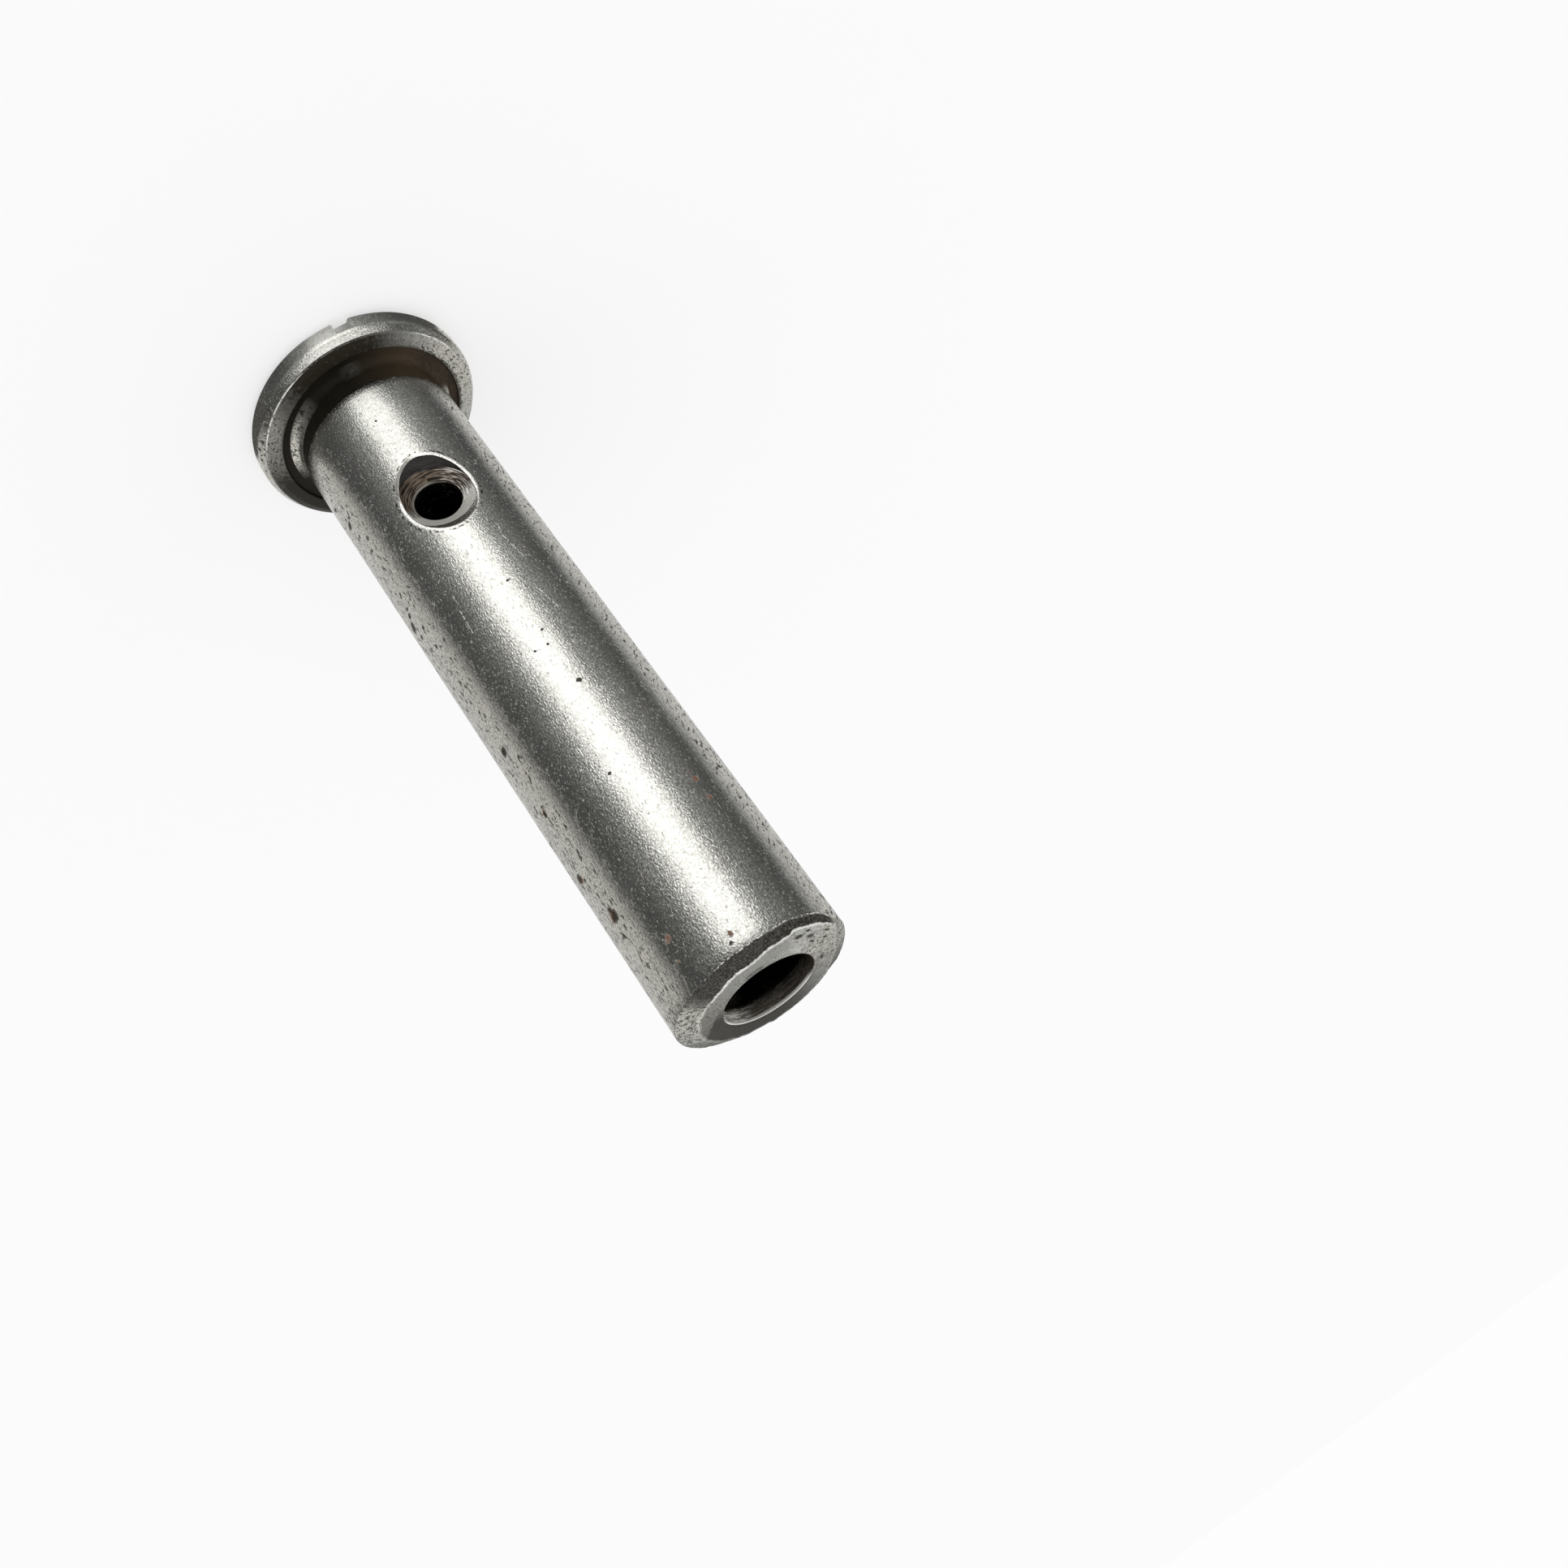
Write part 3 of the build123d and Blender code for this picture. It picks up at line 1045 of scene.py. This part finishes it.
# %% [markdown]
# ## Rust, pits, rubbed edges and painted light
# These lie over everything else, so they are laid last. The lip of the countersink is rubbed
# bright with a painted highlight. On one side it gets painted shade over its reflection of the
# light, and it has a few grimy spots all round. The shank below it has a faint dark line.

# %% Rust, pits, rubbed edges and painted light
brown_rust = (0.15, 0.07, 0.033, 1)
pit_black = (0.03, 0.025, 0.019, 1)
lip_shade_grey = (0.08, 0.075, 0.065, 1)
rubbed_and_highlight_steel = (0.8, 0.79, 0.75, 1)

marks = strongest(scattered, shank_holes, rim_holes, listed_dashes(face_dashes, ragged))
marks = strongest(marks, face_pits * 0.55, band_pits * 0.8)
lip = (hole_depth + ragged * 0.3).band(-0.19, 0.13, 0.06)
lip_shadow = (hole_depth + ragged * 0.3).band(-0.5, -0.32, 0.06) * crumbs.ramp(0.5, 0.58)
# the side of the lip that gets painted shade over its reflection of the light
lip_shade_side = rise.ramp(-0.5, -2.5) * x.ramp(-0.5, 1.2)
# painted shade on that side, and a few grimy spots round the lip
lip_grime_and_shade = lip * strongest(lip_shade_side, crumbs.ramp(0.58, 0.64) * 0.8)
# rubbed bright, with a painted highlight that changes round the hole
lip_polish_and_highlight = lip * (0.45 + crumbs.ramp(0.4, 0.52) * 0.55) * (1 - lip_shade_side * 0.85)
lip_polish_and_highlight = lip_polish_and_highlight * (1 - x.ramp(2.2, 1.4) * rise.ramp(1.4, 2.2) * 0.9)
# rubbed edges and scratches, with painted highlights on the lip, the ring's edge, the chamfer's outer edge
# and the bore's mouth
polish_and_highlights = strongest(lip_polish_and_highlight, face_edge, side_flecks_and_glints, lines, mouth_highlight * 0.8, rubbed_edge_highlight)
polish_and_highlights = polish_and_highlights * (1 - lip_grime_and_shade * 0.9)
colour = bench.mixed(rust * 0.9, colour, brown_rust)
colour = bench.mixed(strongest(marks, lip_shadow) * 0.93, colour, pit_black)
colour = bench.mixed(lip_grime_and_shade * 0.75, colour, lip_shade_grey)
colour = bench.mixed(polish_and_highlights, colour, rubbed_and_highlight_steel)
print(len(steel.node_tree.nodes), "nodes so far")

# %% [markdown]
# ## Gloss and relief
# Bare steel is satin and fully metallic. Dirt, rust and scraped edges are duller and partly
# not metallic, so they keep their own colour whatever they reflect. The relief is in
# millimetres: grain stands up by hundredths, and pits go down.

# %% Gloss and relief
roughness = 0.21 + 0.12 * (mottle - 0.5) + 0.1 * (patches - 0.5) + 0.06 * head_side + 0.08 * end_face
roughness = strongest(
    roughness, marks * 0.6, rust * 0.8, grease_and_shade * 0.5, band_dirt * 0.55, polish_and_highlights * 0.42, in_bore * 0.4)
dull = strongest(
    marks * 0.85, rust * 0.9, grease_and_shade * 0.9, ring_dirt_and_shade * 0.9, rubbed_edge_highlight * 0.7, cone_dirt * 0.85,
    cone_oil_and_shade * 0.9, cone_pale_side * 0.85, cone_streaks * 0.8, lip_grime_and_shade * 0.6, lip_polish_and_highlight * 0.5,
    face_dirt_and_shade * 0.8, face_stain_and_shade * 0.9, face_edge * 0.7, band_dirt * 0.85, side_flecks_and_glints * 0.7, lines * 0.5)
dull = strongest(dull * (1 - in_bore), in_bore * lit_side * 0.9, mouth_highlight * 0.7)
turning = bench.clouds(bench.scaled(place, (0.15, 0.15, 4.0)), 0.9, 2.0, 0.6) * in_bore
relief = grain * bite * 0.05 + fine * 0.01 + crumbs * 0.012 + mottle * 0.012 + turning * 0.05
relief = relief - marks * 0.035 + rust * 0.02 + flecks * 0.03
bump = bench.node("Bump", {}, {"Height": relief, "Distance": MM, "Strength": 1.0})
surface = bench.node("BsdfPrincipled", {}, {
    "Base Color": colour, "Metallic": 1 - dull, "Roughness": roughness, "Normal": bump,
    "Specular IOR Level": 0.1})
bench.node("OutputMaterial", {}, {"Surface": surface})
skin.data.materials.append(steel)
print("steel finish on", skin.name, "with", len(steel.node_tree.nodes), "nodes")

# %% [markdown]
# ## Floor
# The pin stands on a pale floor. Steel shows what is round it rather than a colour of its own,
# so what the steel sees of the floor is set apart from what the camera sees: a light card in
# front of the pin, dark gaps at its sides and a grey surround behind, as on a product table.
# Close to the head the card is dimmer and the pattern narrower.

# %% Floor
white_level = 0.985
picture_middle = Vector((0.9, -4.9)) * MM


def card_light(bench, x, y):
    """How bright the table looks in the steel, at a place in metres from the pin's axis.

    Angles are taken half way between the axis and the front of the shank, because a round
    mirror seems to hold its picture there, so the light bands stay even along the pin.
    """
    away = long_side(x, y)
    near = away.ramp(0.021, 0.015)
    angle = turn_of(x - picture_middle.x, y - picture_middle.y)
    squeezed = angle * (1 + near * 0.6)
    front = abs(squeezed + 1).ramp(33, 12) * (1 - near * 0.78)
    core = abs(angle + 7).ramp(27, 10) * away.ramp(0.016, 0.045)
    apron = abs(squeezed + 7).ramp(80, 22) * (1 - near * 0.2)
    surround = abs(angle + 2.5 - near * 16).ramp(95, 100) * (1 + near * 0.4)
    far = away.ramp(0.42, 0.28)
    return 0.11 + (front * 1.6 + core * 0.6 + apron * 0.38 + surround * 0.72) * far


def floor_finish():
    material = bpy.data.materials.new("pale_floor")
    bench = Bench(material)
    x, y, z = bench.axes(bench.node("NewGeometry"))
    glossy = bench.node("LightPath").output("Is Glossy Ray")
    seen = bench.node("Emission", {}, {"Strength": card_light(bench, x, y)})
    paint = bench.node("BsdfDiffuse", {}, {"Color": (0.9, 0.9, 0.9, 1)})
    glow = bench.node("Emission", {}, {"Strength": white_level})
    pale = bench.node("MixShader", {}, {0: 0.6, 1: paint, 2: glow})
    surface = bench.node("MixShader", {}, {0: glossy, 1: pale, 2: seen})
    bench.node("OutputMaterial", {}, {"Surface": surface})
    return material


def pale_floor():
    mesh = bmesh.new()
    bmesh.ops.create_circle(mesh, cap_ends=True, radius=60.0, segments=64)
    data = bpy.data.meshes.new("floor")
    mesh.to_mesh(data)
    mesh.free()
    floor = bpy.data.objects.new("floor", data)
    bpy.context.scene.collection.objects.link(floor)
    data.materials.append(floor_finish())
    return floor


floor = pale_floor()
print("floor", floor.dimensions.x, "m across")

# %% [markdown]
# ## Sky
# The camera sees a white sky. Steel sees a band of light behind the pin with a dark patch low in
# its middle, a dim room in front, and one soft box low in front.

# %% World


def seen_sky(bench, x, y, z):
    """How bright the sky looks in the steel, by direction."""
    up = bench.maths("ARCSINE", z) * (180 / pi)
    ahead = y * 0.983 - x * 0.186
    aside = x * 0.983 + y * 0.186
    off = abs(turn_of(aside, ahead * -1))
    behind = off.ramp(100, 70) * up.ramp(74, 54)
    low_gap = up.ramp(21, 16) * off.ramp(19, 11)
    room = off.ramp(70, 100) * up.ramp(30, 44) * up.ramp(74, 60)
    box = turn_of(x, y).band(-36, 28, 14) * up.band(12, 31, 6)
    return 0.08 + behind * (1 - low_gap) * 1.12 + room * 0.35 + box * 2.0


world = bpy.data.worlds.new("studio")
bpy.context.scene.world = world
sky = Bench(world)
rays = sky.node("LightPath")
glossy = rays.output("Is Glossy Ray")
reflected = seen_sky(sky, *sky.axes(sky.node("TexCoord")))
strength = rays * white_level + (1 - rays) * (glossy * reflected + (1 - glossy) * 0.8)
background = sky.node("Background", {}, {"Color": (1, 1, 1, 1), "Strength": strength})
sky.node("OutputWorld", {}, {"Surface": background})
print("world", world.name)

# %% [markdown]
# ## Lamp
# One soft sun from the front right gives the pale floor its shadow. The steel doesn't reflect it.

# %% Lamp


def soft_sun(name, direction, spread, strength):
    data = bpy.data.lights.new(name, "SUN")
    data.angle = radians(spread)
    data.energy = strength
    lamp = bpy.data.objects.new(name, data)
    bpy.context.scene.collection.objects.link(lamp)
    lamp.rotation_mode = "QUATERNION"
    lamp.rotation_quaternion = Vector(direction).to_track_quat("-Z", "Y")
    return lamp


key = soft_sun("key_lamp", (-0.4, 0.5, -1.0), 60, 0.9)
key.visible_glossy = False
print("key lamp strength", key.data.energy)

# %% [markdown]
# The colours are shown as they are, without a film look.

bpy.context.scene.view_settings.view_transform = "Standard"
